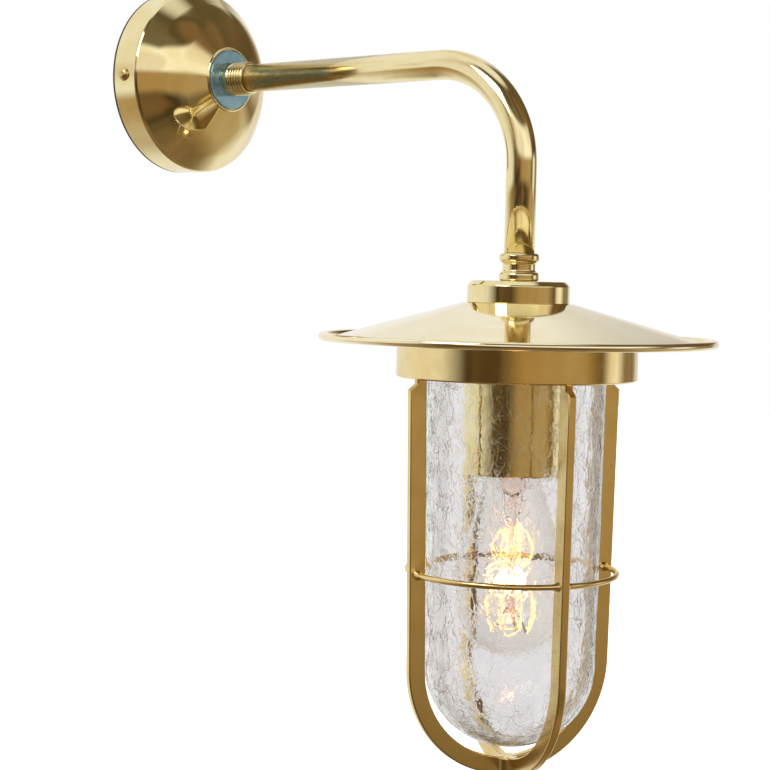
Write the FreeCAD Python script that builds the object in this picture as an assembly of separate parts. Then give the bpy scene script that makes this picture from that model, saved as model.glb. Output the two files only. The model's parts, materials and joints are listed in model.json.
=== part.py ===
"""Ship's wall lantern: rose, swan-neck arm, visor, gallery, caged crackle-glass dome and E27 lampholder.

Row frame, millimetres: the wall is the plane x = 0, +X points out of the wall along the arm, +Z is up,
and the arm's straight run lies on z = 0. The lantern hangs about a vertical axis at x = reach.
"""
import FreeCAD
import Part

import math
import os

Vector = FreeCAD.Vector
X_AXIS = Vector(1, 0, 0)
Z_AXIS = Vector(0, 0, 1)

# ---- driving dimensions ------------------------------------------------------------------------
# Arm and couplings
reach = 256.5              # wall to the lantern's axis
arm_r = 8.0                # outside radius of the arm tube
arm_wall = 1.2
arm_bend_r = 55.0          # centreline radius of the bend
arm_drop = 101.0           # arm centreline down to the top of the lower coupling
socket_fit = 0.02          # brazed tube in its socket, on the radius
nipple_r = 5.0             # M10 x 1 conduit thread, outside
nipple_wall = 1.2
nipple_entry = 8.0         # nipple's length inside the lower coupling
thread_fit = 0.05          # mating threads stand as plain cylinders this far apart, on the radius
plate_gauge = 1.0          # thin washers

# Rose
rose_r = 54.0
rose_rim = 19.0            # depth of the straight rim, from the wall
rose_height = 43.0         # wall to the flat seat
rose_seat_r = 18.0
rose_wall = 1.2
rose_shoulder_r = 3.5
rose_seat_bend_r = 4.0
gasket_gauge = 1.2         # rubber ring between rose and wall
gasket_width = 3.0
seal_r = 17.3
seal_gauge = 1.5
coupling_wall = 1.8        # coupling's radius over the tube's
coupling_length = 15.7
coupling_collar = 5.2      # first plain collar of the ribbed coupling
coupling_ribs = 4
coupling_socket = 9.0      # depth that the arm tube enters
back_nut_r = 8.5           # across the corners
back_nut_height = 4.0

# Mounting plate inside the rose
plate_inset = 8.0          # plate's edge inside the rose's
plate_wall = 2.0
plate_hole_pitch = 60.0    # two wall fixings, one above the other
plate_hole_r = 2.6
cable_hole_r = 9.5
ear_width = 14.0
ear_gap = 2.6              # ear to the inside of the rose's rim
rose_screw_r = 2.0         # M4
rose_screw_head_r = 4.0
rose_screw_head = 2.4
rose_screw_x = 9.5         # screw's height above the wall
slot_width = 1.0
slot_depth = 1.0
hole_clearance = 0.25      # screw in a clearance hole, on the radius

# Terminal block and earth
block_length = 26.0
block_width = 14.0
block_height = 13.0
block_z = -24.0
block_bore_r = 2.4
terminal_screw_r = 1.5     # M3
terminal_head_r = 1.9
earth_screw_r = 2.0
earth_y = 24.0
earth_z = 12.0

# Flex inside the arm
flex_r = 3.0
flex_tail = 17.0           # sheath's length inside the rose
core_r = 1.1
core_pitch_r = 1.6         # the cores' centres from the flex's centre

# Lower coupling
spool_lip = 2.5            # beads' radius over the tube's
spool_waist_r = 8.6
spool_bead = 4.4
spool_waist = 5.6
spool_socket = 4.0         # depth that the arm tube enters

# Cap and visor
cap_r = 26.8
cap_height = 11.6
cap_wall = 2.0
cap_edge_r = 2.6
spacer_r = 9.0
visor_flat_margin = 2.2    # flat middle's edge beyond the cap
visor_overhang = 39.1      # gallery to the middle of the wired edge
visor_slope = 0.281        # drop over run
visor_wall = 1.2
visor_edge_r = 2.1
visor_wire_r = 1.05
visor_washer_r = 19.0

# Gallery, guard and glass
gallery_wall = 3.5
gallery_plate = 4.0
gallery_hub_r = 20.0
gallery_skirt = 23.8       # plate's underside down to the skirt's edge
gallery_under_visor = 0.8  # gap at the gallery's edge
gallery_edge_r = 1.0
thread_gap = 0.4           # guard's collar in the gallery, on the radius: the thread's depth is left out
collar_height = 18.0
collar_top_gap = 4.0       # gallery plate to the collar's top
glass_top_r = 47.6
glass_taper = 2.8          # smaller radius at the bottom than at the top
glass_lip = 3.9            # flange's radius over the glass's
glass_flange = 4.5
glass_wall = 3.0
glass_height = 216.4
glass_side_gap = 1.0       # glass to the collar's bore
flange_side_gap = 0.7
collar_wall = 7.1          # around the flange
glass_gasket = 2.0
bar_inset = 1.6            # bars' outside within the gallery's
bar_taper = 2.6            # smaller radius at the bottom than at the top
bar_depth = 9.2
bar_width = 4.6
bar_edge_r = 0.7
bar_flat = 1.0             # straight part beside the axis, under the glass
bar_gap = 2.7              # gallery's lower edge to the bars' chamfer
bar_shoulder_inset = 1.6   # narrow stretch of a bar within the collar
bar_chamfer = 3.3
bar_count = 4
bar_azimuth = -27.0        # first bar, from +X towards +Y, degrees
under_glass_gap = 6.3      # glass to the bars' lowest point, inside
boss_r = 6.5
boss_drop = 1.0
hoop_drop = 121.4          # collar's top to the hoop
hoop_inset = 6.4           # hoop's middle within the bars' outside at the top
hoop_wire_r = 1.5

# Lampholder
can_r = 27.3
can_wall = 1.0
can_length = 73.8
can_edge_r = 1.0
clamp_nut_r = 8.5
clamp_nut_height = 4.0
holder_r = 19.5
holder_wall = 1.2
holder_neck_r = 8.0
holder_gap = 1.8           # clamp nut to the lampholder's neck
holder_thread = 7.6        # nipple's length inside the neck
holder_shoulder = 5.0      # height of the sloping shoulder
insert_gauge = 6.0
terminal_space = 10.0      # nipple's end to the insert
holder_skirt_length = 30.0
shell_wall = 0.4
shell_length = 26.0
contact_spring = 2.0       # height of the centre contact under load
contact_r = 4.0

# Bulb
bulb_cap_r = 13.2
bulb_fit = 0.35            # bulb cap in the screw shell, on the radius
bulb_cap_height = 21.0
bulb_insulator = 5.0
bulb_cap_sheet = 0.4
bulb_thread_depth = 0.8
bulb_thread_turns = 4
bulb_thread_pitch = 3.6
bulb_cement = 0.2          # cap to the glass neck, on the radius
bulb_r = 30.0
bulb_length = 137.5        # centre contact to tip
bulb_wall = 0.8
bulb_widest_drop = 107.0   # centre contact to the widest ring
stem_r = 6.0
stem_length = 26.0         # flare and pinch, from the cap down
stem_rod_r = 1.8
stem_rod_drop = 115.0      # centre contact to the rod's end
filament_r = 0.35
support_r = 0.3
filament_top_drop = 69.0
filament_low_drop = 125.0
filament_cage_r = 11.5
filament_legs = 8
filament_bend_r = 3.2
wire_gap = 0.05

# ---- places worked out from the driving dimensions -----------------------------------------------
seat_x = rose_height
plate_r = rose_r - plate_inset
coupling_r = arm_r + coupling_wall
spool_r = arm_r + spool_lip
glass_low_r = glass_top_r - glass_taper
glass_flange_r = glass_top_r + glass_lip
collar_r = glass_flange_r + flange_side_gap + collar_wall
gallery_r = collar_r + thread_gap + gallery_wall
bar_top_r = gallery_r - bar_inset
bar_low_r = bar_top_r - bar_taper
bar_shoulder_r = collar_r - bar_shoulder_inset
hoop_r = bar_top_r - hoop_inset
visor_flat_r = cap_r + visor_flat_margin
visor_r = gallery_r + visor_overhang
coupling_x = seat_x + seal_gauge
arm_start_x = coupling_x + coupling_length - coupling_socket
spool_top = -arm_drop
spool_bottom = spool_top - 2 * spool_bead - spool_waist
cap_top = spool_bottom
cap_bottom = cap_top - cap_height
visor_top = cap_bottom
visor_under = visor_top - visor_wall
gallery_hub_top = visor_under - plate_gauge
visor_under_at_gallery = visor_under - visor_slope * (gallery_r - visor_flat_r)
gallery_top = visor_under_at_gallery - gallery_under_visor
gallery_under = gallery_top - gallery_plate
collar_top = gallery_under - collar_top_gap
collar_bottom = collar_top - collar_height
flange_top = gallery_under - glass_gasket
flange_bottom = flange_top - glass_flange
can_top = gallery_under
can_inner_r = can_r - can_wall
gallery_bottom_z = gallery_under - gallery_skirt
bar_shoulder_bottom = gallery_bottom_z - bar_gap
glass_bottom_z = flange_top - glass_height
guard_bottom_z = glass_bottom_z - under_glass_gap - bar_depth
hoop_z = collar_top - hoop_drop
can_bottom_z = can_top - can_length
holder_top_z = can_top - 2 * plate_gauge - clamp_nut_height - holder_gap
nipple_end_z = holder_top_z - holder_thread
insert_z = nipple_end_z - terminal_space
contact_z = insert_z - insert_gauge - contact_spring
shell_bottom_z = insert_z - insert_gauge - shell_length
holder_skirt_z = contact_z - holder_skirt_length
bulb_tip_z = contact_z - bulb_length
bulb_widest_z = contact_z - bulb_widest_drop
rod_end_z = contact_z - stem_rod_drop
filament_top_z = contact_z - filament_top_drop
filament_low_z = contact_z - filament_low_drop
nipple_hole_r = nipple_r + hole_clearance
nipple_bore_r = nipple_r - nipple_wall
ear_y = rose_r - rose_wall - ear_gap
bulb_neck_r = bulb_cap_r - bulb_thread_depth - bulb_cap_sheet - bulb_cement


# ---- helpers --------------------------------------------------------------------------------------
def rounded_wire(corners, place):
    """Closed wire through corners (a, b, radius); a radius of 0 leaves a corner sharp."""
    count = len(corners)
    starts = []
    arcs = []
    for index in range(count):
        before = Vector(corners[index - 1][0], corners[index - 1][1], 0)
        here = Vector(corners[index][0], corners[index][1], 0)
        after = Vector(corners[(index + 1) % count][0], corners[(index + 1) % count][1], 0)
        radius = corners[index][2]
        if radius == 0:
            starts.append((here, here))
            arcs.append(None)
            continue
        back = (before - here).normalize()
        onward = (after - here).normalize()
        half = back.getAngle(onward) / 2
        tangent = radius / math.tan(half)
        middle_line = (back + onward).normalize()
        nearest = here + middle_line * (radius / math.sin(half) - radius)
        starts.append((here + back * tangent, here + onward * tangent))
        arcs.append(nearest)
    edges = []
    for index in range(count):
        arrive, leave = starts[index]
        if arcs[index] is not None:
            points = [place(point.x, point.y) for point in (arrive, arcs[index], leave)]
            edges.append(Part.Arc(*points).toShape())
        next_arrive = starts[(index + 1) % count][0]
        if (next_arrive - leave).Length > 1e-6:
            line = Part.LineSegment(place(leave.x, leave.y), place(next_arrive.x, next_arrive.y))
            edges.append(line.toShape())
    return Part.Wire(edges)


def turned_on_lantern(*corners):
    """Turn corners (radius, height, corner radius) about the lantern's vertical axis."""
    face = Part.Face(rounded_wire(corners, lambda r, z: Vector(reach + r, 0, z)))
    return face.revolve(Vector(reach, 0, 0), Z_AXIS, 360)


def turned_on_arm(*corners):
    """Turn corners (radius, distance from the wall, corner radius) about the arm's straight run."""
    face = Part.Face(rounded_wire(corners, lambda r, x: Vector(x, 0, r)))
    return face.revolve(Vector(0, 0, 0), X_AXIS, 360)


def ring(inner_r, outer_r, top, bottom):
    """Plain ring on the lantern's axis."""
    return turned_on_lantern((inner_r, top, 0), (outer_r, top, 0), (outer_r, bottom, 0), (inner_r, bottom, 0))


def wall_ring(inner_r, outer_r, start, end):
    """Plain ring on the arm's axis."""
    return turned_on_arm((inner_r, start, 0), (outer_r, start, 0), (outer_r, end, 0), (inner_r, end, 0))


def rod(radius, start, end):
    """Round rod between two points."""
    run = end - start
    return Part.makeCylinder(radius, run.Length, start, run)


def hexagon(corner_r, bore_r, base, height, direction):
    """Hexagon nut with a plain bore, standing on base along direction."""
    side = Vector(0, 1, 0)
    other = direction.cross(side)
    points = []
    for step in range(7):
        angle = math.radians(60 * step)
        points.append(base + side * (corner_r * math.cos(angle)) + other * (corner_r * math.sin(angle)))
    body = Part.Face(Part.makePolygon(points)).extrude(direction * height)
    return body.cut(Part.makeCylinder(bore_r, height, base, direction))


def bent_run(radius, start_x, end_z):
    """Round bar along the arm: straight out from start_x, round the bend, and down to end_z."""
    bend_x = reach - arm_bend_r
    half_turn = math.radians(45)
    middle = Vector(bend_x + arm_bend_r * math.sin(half_turn), 0, arm_bend_r * (math.cos(half_turn) - 1))
    path = Part.Wire([
        Part.LineSegment(Vector(start_x, 0, 0), Vector(bend_x, 0, 0)).toShape(),
        Part.Arc(Vector(bend_x, 0, 0), middle, Vector(reach, 0, -arm_bend_r)).toShape(),
        Part.LineSegment(Vector(reach, 0, -arm_bend_r), Vector(reach, 0, end_z)).toShape(),
    ])
    section = Part.Wire([Part.makeCircle(radius, Vector(start_x, 0, 0), X_AXIS)])
    return path.makePipeShell([section], True, True)


def slotted_screw(head_r, head_height, shank_r, shank_length, seat, outward, slot_along):
    """Round-headed slotted screw whose head sits on seat and stands along outward."""
    shank = Part.makeCylinder(shank_r, shank_length, seat, outward * -1)
    across = outward.cross(slot_along)
    top = seat + outward * head_height
    rim = seat + across * head_r
    shoulder = seat + across * (head_r * 0.72) + outward * (head_height * 0.72)
    outline = Part.Wire([
        Part.LineSegment(seat, rim).toShape(),
        Part.Arc(rim, shoulder, top).toShape(),
        Part.LineSegment(top, seat).toShape(),
    ])
    head = Part.Face(outline).revolve(seat, outward, 360)
    corner = top - outward * slot_depth - slot_along * head_r - across * (slot_width / 2)
    floor = Part.makePolygon([corner, corner + slot_along * (2 * head_r),
                              corner + slot_along * (2 * head_r) + across * slot_width,
                              corner + across * slot_width, corner])
    slot = Part.Face(floor).extrude(outward * (2 * slot_depth))
    return head.fuse(shank).cut(slot)


def smooth_run(radius, points, bend_r):
    """Round core through points in one vertical or level plane, its corners rounded to bend_r."""
    edges = []
    here = points[0]
    for index in range(1, len(points) - 1):
        corner = points[index]
        back = (points[index - 1] - corner).normalize()
        onward = (points[index + 1] - corner).normalize()
        half = back.getAngle(onward) / 2
        tangent = bend_r / math.tan(half)
        middle_line = (back + onward).normalize()
        arrive = corner + back * tangent
        leave = corner + onward * tangent
        nearest = corner + middle_line * (bend_r / math.sin(half) - bend_r)
        edges.append(Part.LineSegment(here, arrive).toShape())
        edges.append(Part.Arc(arrive, nearest, leave).toShape())
        here = leave
    edges.append(Part.LineSegment(here, points[-1]).toShape())
    section = Part.Wire([Part.makeCircle(radius, points[0], points[1] - points[0])])
    return Part.Wire(edges).makePipeShell([section], True, True)


# ---- rose and what is behind it --------------------------------------------------------------------
def wall_gasket():
    return wall_ring(rose_r - gasket_width, rose_r, 0, gasket_gauge)


def mounting_plate():
    """Steel plate on the wall, with two ears that take the rose's side screws."""
    plate = Part.makeCylinder(plate_r, plate_wall, Vector(0, 0, 0), X_AXIS)
    ear_height = rose_screw_x + ear_width / 2
    for side in (-1, 1):
        foot = Part.makeBox(plate_wall, ear_y, ear_width, Vector(0, min(0, side * ear_y), -ear_width / 2))
        ear_low = min(side * ear_y, side * (ear_y - plate_wall))
        ear = Part.makeBox(ear_height, plate_wall, ear_width, Vector(0, ear_low, -ear_width / 2))
        plate = plate.fuse(foot).fuse(ear)
    for side in (-1, 1):
        middle = Vector(rose_screw_x, side * (ear_y - 2 * plate_wall), 0)
        tapped = Part.makeCylinder(rose_screw_r + thread_fit, 4 * plate_wall, middle, Vector(0, side, 0))
        fixing = Part.makeCylinder(plate_hole_r, plate_wall, Vector(0, 0, side * plate_hole_pitch / 2), X_AXIS)
        plate = plate.cut(tapped).cut(fixing)
    plate = plate.cut(Part.makeCylinder(cable_hole_r, plate_wall, Vector(0, 0, 0), X_AXIS))
    earth = Part.makeCylinder(earth_screw_r + thread_fit, plate_wall, Vector(0, earth_y, earth_z), X_AXIS)
    block = Part.makeCylinder(terminal_screw_r + thread_fit, plate_wall, Vector(0, 0, block_z), X_AXIS)
    return plate.cut(earth).cut(block).removeSplitter()


def wall_rose():
    """Spun brass rose: straight rim, domed face, flat seat with a fine raised lip around the seal."""
    bore = nipple_hole_r
    inner_r = rose_r - rose_wall
    inner_seat = rose_height - rose_wall
    lip_r = seal_r + 2 * hole_clearance
    inside_shoulder = rose_shoulder_r - rose_wall
    swell = rose_r - rose_shoulder_r
    body = turned_on_arm(
        (inner_r, gasket_gauge, 0), (rose_r, gasket_gauge, 0), (rose_r, rose_rim, rose_shoulder_r),
        (swell * 0.78, rose_rim + (rose_height - rose_rim) * 0.6, rose_r * 0.9),
        (rose_seat_r, rose_height, rose_seat_bend_r), (bore, rose_height, 0), (bore, inner_seat, 0),
        (rose_seat_r - rose_wall, inner_seat, rose_seat_bend_r - rose_wall),
        (swell * 0.78 - rose_wall, rose_rim + (rose_height - rose_rim) * 0.6 - rose_wall, rose_r * 0.9),
        (inner_r, rose_rim - rose_wall, inside_shoulder))
    for side in (-1, 1):
        start = Vector(rose_screw_x, side * (ear_y + ear_gap / 2), 0)
        body = body.cut(Part.makeCylinder(rose_screw_r + hole_clearance, ear_gap + rose_wall, start,
                                          Vector(0, side, 0)))
    lip = wall_ring(lip_r, lip_r + 0.7, rose_height - rose_wall / 2, rose_height + 0.5)
    return body.fuse(lip).removeSplitter()


def rose_screws():
    shank = rose_wall + ear_gap + 2 * plate_wall
    return [slotted_screw(rose_screw_head_r, rose_screw_head, rose_screw_r, shank,
                          Vector(rose_screw_x, side * rose_r, 0), Vector(0, side, 0), X_AXIS)
            for side in (-1, 1)]


def terminal_block():
    """Two-way porcelain block on the plate: a wire bore through each way and a screw hole down onto it."""
    low = Vector(plate_wall, -block_length / 2, block_z - block_width / 2)
    block = Part.makeBox(block_height, block_length, block_width, low)
    block = block.makeFillet(1.5, [edge for edge in block.Edges if abs(edge.tangentAt(0).x) > 0.9])
    for side in (-1, 1):
        y = side * block_length / 4
        way_in = Vector(plate_wall + block_height / 2, y, low.z)
        bore = Part.makeCylinder(block_bore_r, block_width, way_in, Z_AXIS)
        screw = Part.makeCylinder(terminal_head_r + thread_fit, block_height / 2,
                                  Vector(plate_wall + block_height / 2, y, block_z), X_AXIS)
        block = block.cut(bore).cut(screw)
    foot = Vector(plate_wall, 0, block_z)
    fixing = Part.makeCylinder(terminal_screw_r + hole_clearance, block_height, foot, X_AXIS)
    counterbore = Part.makeCylinder(terminal_head_r + 2 * hole_clearance, block_height / 2,
                                    Vector(plate_wall + block_height / 2, 0, block_z), X_AXIS)
    return block.cut(fixing).cut(counterbore)


def terminal_block_screws():
    """One grub screw over each wire bore, and the long screw that holds the block to the plate."""
    solids = []
    for side in (-1, 1):
        y = side * block_length / 4
        foot = Vector(plate_wall + block_height / 2 + block_bore_r - 0.4, y, block_z)
        solids.append(Part.makeCylinder(terminal_head_r, block_height / 2 - block_bore_r, foot, X_AXIS))
    head = Vector(plate_wall + block_height / 2, 0, block_z)
    shank_start = Vector(0, 0, block_z)
    long_screw = Part.makeCylinder(terminal_screw_r, block_height / 2 + plate_wall, shank_start, X_AXIS)
    solids.append(long_screw.fuse(Part.makeCylinder(terminal_head_r, terminal_head_r, head, X_AXIS)))
    return solids


def earth_washer():
    seat = Vector(plate_wall, earth_y, earth_z)
    disc = Part.makeCylinder(2 * earth_screw_r + 1, plate_gauge, seat, X_AXIS)
    return disc.cut(Part.makeCylinder(earth_screw_r + hole_clearance, plate_gauge, seat, X_AXIS))


def earth_screw():
    seat = Vector(plate_wall + plate_gauge, earth_y, earth_z)
    return slotted_screw(rose_screw_head_r, rose_screw_head, earth_screw_r, plate_gauge + plate_wall,
                         seat, X_AXIS, Vector(0, 1, 0))


def rose_seal_washer():
    return turned_on_arm((nipple_hole_r, seat_x, 0), (seal_r, seat_x, 0), (seal_r, coupling_x, 0.5),
                         (nipple_hole_r, coupling_x, 0))


def back_washer():
    start = seat_x - rose_wall - plate_gauge
    return wall_ring(nipple_hole_r, 1.2 * back_nut_r, start, start + plate_gauge)


def back_nut():
    base = Vector(seat_x - rose_wall - plate_gauge - back_nut_height, 0, 0)
    return hexagon(back_nut_r, nipple_r + thread_fit, base, back_nut_height, X_AXIS)


def rose_coupling():
    """Ribbed coupling: threaded stub into the rose, a plain collar, fine ribs and a socket for the tube."""
    stub_start = seat_x - rose_wall - plate_gauge - back_nut_height - 1.5
    end_x = coupling_x + coupling_length
    groove_r = coupling_r - 0.9
    rib_pitch = (coupling_length - coupling_collar - 2.2) / coupling_ribs
    socket_r = arm_r + socket_fit
    corners = [(nipple_bore_r, stub_start, 0), (nipple_r, stub_start, 0), (nipple_r, coupling_x, 0),
               (coupling_r, coupling_x, 0.5), (coupling_r, coupling_x + coupling_collar, 0.5),
               (groove_r, coupling_x + coupling_collar, 0)]
    for rib in range(coupling_ribs):
        start = coupling_x + coupling_collar + rib * rib_pitch
        corners += [(groove_r, start + 0.3 * rib_pitch, 0),
                    (coupling_r - 0.15, start + 0.3 * rib_pitch, 0.4),
                    (coupling_r - 0.15, start + rib_pitch, 0.4), (groove_r, start + rib_pitch, 0)]
    corners += [(groove_r, end_x - 1.7, 0), (coupling_r - 0.3, end_x - 1.7, 0.3), (coupling_r - 0.3, end_x, 0.4),
                (socket_r, end_x, 0), (socket_r, arm_start_x, 0), (nipple_bore_r, arm_start_x, 0)]
    return turned_on_arm(*corners)


# ---- arm -------------------------------------------------------------------------------------------
arm_end_z = spool_top - spool_socket
flex_start_x = seat_x - flex_tail
flex_end_z = nipple_end_z - 1.5


def arm_tube():
    return bent_run(arm_r, arm_start_x, arm_end_z).cut(bent_run(arm_r - arm_wall, arm_start_x, arm_end_z))


def arm_flex():
    """Three-core flex along the whole arm, from inside the rose to inside the lampholder's cap."""
    return bent_run(flex_r, flex_start_x, flex_end_z)


def rose_end_cores():
    """Live and neutral to the terminal block, earth to its screw."""
    solids = []
    block_top = block_z + block_width / 2
    wire_x = plate_wall + block_height / 2
    for side in (-1, 1):
        start = Vector(flex_start_x, side * core_pitch_r, -core_pitch_r / 2)
        fan = Vector(flex_start_x - 4.5, side * core_pitch_r, -core_pitch_r / 2)
        drop = Vector(wire_x, side * block_length / 4, block_top + 7.0)
        end = Vector(wire_x, side * block_length / 4, block_top - 3.0)
        solids.append(smooth_run(core_r, [start, fan, drop, end], 3.0))
    start = Vector(flex_start_x, 0, core_pitch_r)
    above_earth = Vector(plate_wall + plate_gauge + rose_screw_head + 2.0, earth_y, earth_z)
    fan = Vector(flex_start_x - 4.5, 0, core_pitch_r)
    solids.append(smooth_run(core_r, [start, fan, above_earth + Vector(3.0, -6.0, -1.5), above_earth], 3.0))
    return solids


def lower_coupling():
    """Turned spool between the arm and the lantern: bead, waist, bead."""
    waist_top = spool_top - spool_bead
    waist_bottom = waist_top - spool_waist
    step = 0.8
    return turned_on_lantern(
        (arm_r + socket_fit, spool_top, 0), (spool_r - step, spool_top, 0.3), (spool_r, spool_top - 1.1, 0.5),
        (spool_r, waist_top, 1.2), (spool_waist_r, waist_top - step, 0.9), (spool_waist_r, waist_bottom + step, 0.9),
        (spool_r, waist_bottom, 1.2), (spool_r, spool_bottom, 0.8), (nipple_r + thread_fit, spool_bottom, 0),
        (nipple_r + thread_fit, spool_bottom + nipple_entry, 0),
        (nipple_bore_r, spool_bottom + nipple_entry, 0),
        (nipple_bore_r, arm_end_z, 0), (arm_r + socket_fit, arm_end_z, 0))


def hollow_nipple():
    """Threaded tube that clamps cap, visor, gallery and lampholder together."""
    return ring(nipple_bore_r, nipple_r, spool_bottom + nipple_entry, nipple_end_z)


# ---- cap and visor -----------------------------------------------------------------------------------
def top_cap():
    return turned_on_lantern(
        (nipple_hole_r, cap_top, 0), (cap_r, cap_top, cap_edge_r), (cap_r, cap_bottom, 0.3),
        (cap_r - cap_wall, cap_bottom, 0), (cap_r - cap_wall, cap_top - cap_wall, 1.0),
        (nipple_hole_r, cap_top - cap_wall, 0))


def cap_spacer():
    return ring(nipple_hole_r, spacer_r, cap_top - cap_wall, cap_bottom)


def visor():
    """Spun visor: flat middle, straight cone, and an edge rolled up around a wire."""
    edge_z = visor_top - visor_slope * (visor_r - visor_flat_r) + visor_edge_r - visor_wall / 2
    end_r = visor_r - visor_edge_r / 2
    end_top = visor_top - visor_slope * (end_r - visor_flat_r)
    sheet = turned_on_lantern(
        (nipple_hole_r, visor_top, 0), (visor_flat_r, visor_top, 0), (end_r, end_top, 0),
        (end_r, end_top - visor_wall, 0), (visor_flat_r, visor_under, 0), (nipple_hole_r, visor_under, 0))
    centre = Vector(reach, 0, edge_z)
    rolled = Part.makeTorus(visor_r, visor_edge_r, centre, Z_AXIS)
    hollow = Part.makeTorus(visor_r, visor_wire_r + wire_gap, centre, Z_AXIS)
    return sheet.fuse(rolled).cut(hollow).removeSplitter()


def visor_rim_wire():
    edge_z = visor_top - visor_slope * (visor_r - visor_flat_r) + visor_edge_r - visor_wall / 2
    return Part.makeTorus(visor_r, visor_wire_r, Vector(reach, 0, edge_z), Z_AXIS)


def visor_washer():
    return ring(nipple_hole_r, visor_washer_r, visor_under, gallery_hub_top)


# ---- gallery, glass and guard --------------------------------------------------------------------------
def gallery():
    """Band with a plate and a raised hub; the guard's collar screws up inside its skirt."""
    inner_r = gallery_r - gallery_wall
    return turned_on_lantern(
        (nipple_hole_r, gallery_hub_top, 0), (gallery_hub_r, gallery_hub_top, 0.5),
        (gallery_hub_r, gallery_top, 2.0), (gallery_r, gallery_top, gallery_edge_r),
        (gallery_r, gallery_bottom_z, gallery_edge_r),
        (inner_r, gallery_bottom_z, 0.4), (inner_r, gallery_under, 0.4), (nipple_hole_r, gallery_under, 0))


def glass_gasket_ring():
    return ring(glass_top_r - 1.0, glass_flange_r, gallery_under, flange_top)


def glass_dome():
    """Crackle-glass dome with a thick flange, slightly tapered, round at the bottom."""
    mouth_r = glass_top_r - glass_wall
    low_inner = glass_low_r - glass_wall
    round_r = glass_low_r - 1.0
    return turned_on_lantern(
        (mouth_r, flange_top, 0.8), (glass_flange_r, flange_top, 0.8), (glass_flange_r, flange_bottom, 0.8),
        (glass_top_r, flange_bottom, 0), (glass_low_r, glass_bottom_z, round_r), (0, glass_bottom_z, 0),
        (0, glass_bottom_z + glass_wall, 0), (low_inner, glass_bottom_z + glass_wall, round_r - glass_wall))


def guard_bar():
    """One bar, from the collar down and round to the lantern's axis, in the plane of +X."""
    chamfer_bottom = bar_shoulder_bottom - bar_chamfer
    inner_top = bar_top_r - bar_depth
    inner_low = bar_low_r - bar_depth
    wire = rounded_wire([
        (inner_top, collar_bottom + 2.0, 0), (bar_shoulder_r, collar_bottom + 2.0, 0),
        (bar_shoulder_r, bar_shoulder_bottom, 1.0), (bar_top_r, chamfer_bottom, 1.5),
        (bar_low_r, guard_bottom_z, bar_low_r - bar_flat), (0, guard_bottom_z, 0),
        (0, guard_bottom_z + bar_depth, 0), (inner_low, guard_bottom_z + bar_depth, inner_low - bar_flat)],
        lambda r, z: Vector(reach + r, -bar_width / 2, z))
    bar = Part.Face(wire).extrude(Vector(0, bar_width, 0))
    long_edges = [edge for edge in bar.Edges
                  if edge.Length > 3 * bar_width and abs(edge.CenterOfMass.y) > 0.4 * bar_width]
    return bar.makeFillet(bar_edge_r, long_edges)


def guard():
    """One casting: collar with a shelf for the glass, four bars, a hoop and a small boss underneath."""
    bore = glass_top_r + glass_side_gap
    seat_r = glass_flange_r + flange_side_gap
    body = turned_on_lantern(
        (seat_r, collar_top, 0), (collar_r, collar_top, 0.8), (collar_r, collar_bottom, 0.8),
        (bore, collar_bottom, 0.8), (bore, flange_bottom, 0.4), (seat_r, flange_bottom, 0))
    bar = guard_bar()
    for index in range(bar_count):
        turned = bar.copy()
        turned.rotate(Vector(reach, 0, 0), Z_AXIS, bar_azimuth + index * 360.0 / bar_count)
        body = body.fuse(turned)
    hoop = Part.makeTorus(hoop_r, hoop_wire_r, Vector(reach, 0, hoop_z), Z_AXIS)
    boss = turned_on_lantern(
        (0, guard_bottom_z + bar_depth, 0), (boss_r, guard_bottom_z + bar_depth, 1.0),
        (boss_r, guard_bottom_z - boss_drop, 1.0), (0, guard_bottom_z - boss_drop, 0))
    return body.fuse(hoop).fuse(boss).removeSplitter()


# ---- lampholder ------------------------------------------------------------------------------------------
def lampholder_cover():
    """Polished can around the lampholder, clamped under the gallery's plate."""
    return turned_on_lantern(
        (nipple_hole_r, can_top, 0), (can_r, can_top, can_edge_r), (can_r, can_bottom_z, 0.5),
        (can_inner_r, can_bottom_z, 0), (can_inner_r, can_top - plate_gauge, 0),
        (nipple_hole_r, can_top - plate_gauge, 0))


def clamp_washer():
    top = can_top - plate_gauge
    return ring(nipple_hole_r, 1.2 * clamp_nut_r, top, top - plate_gauge)


def clamp_nut():
    base = Vector(reach, 0, can_top - 2 * plate_gauge)
    return hexagon(clamp_nut_r, nipple_r + thread_fit, base, clamp_nut_height, Z_AXIS * -1)


def holder_cap():
    """Lampholder's brass cap: threaded neck, sloping shoulder, straight skirt."""
    top = holder_top_z
    neck_bottom = nipple_end_z + 1.0
    shoulder_bottom = neck_bottom - holder_shoulder
    skirt_bottom = contact_z
    inner_r = holder_r - holder_wall
    return turned_on_lantern(
        (nipple_r + thread_fit, top, 0), (holder_neck_r, top, 0.4), (holder_neck_r, neck_bottom, 1.0),
        (holder_r, shoulder_bottom, 2.0), (holder_r, skirt_bottom, 0), (inner_r, skirt_bottom, 0),
        (inner_r, shoulder_bottom - holder_wall, 0), (nipple_r + thread_fit, neck_bottom - holder_wall, 0))


def holder_insert():
    """Porcelain disc that carries the contacts, drilled for three terminal screws."""
    disc = ring(0, holder_r - holder_wall - wire_gap, insert_z, insert_z - insert_gauge)
    for index in range(3):
        place = terminal_place(index, insert_z)
        disc = disc.cut(Part.makeCylinder(terminal_screw_r + thread_fit, insert_gauge, place, Z_AXIS * -1))
    return disc


def terminal_place(index, z):
    angle = math.radians(120 * index + 90)
    return Vector(reach + 10.5 * math.cos(angle), 10.5 * math.sin(angle), z)


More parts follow.
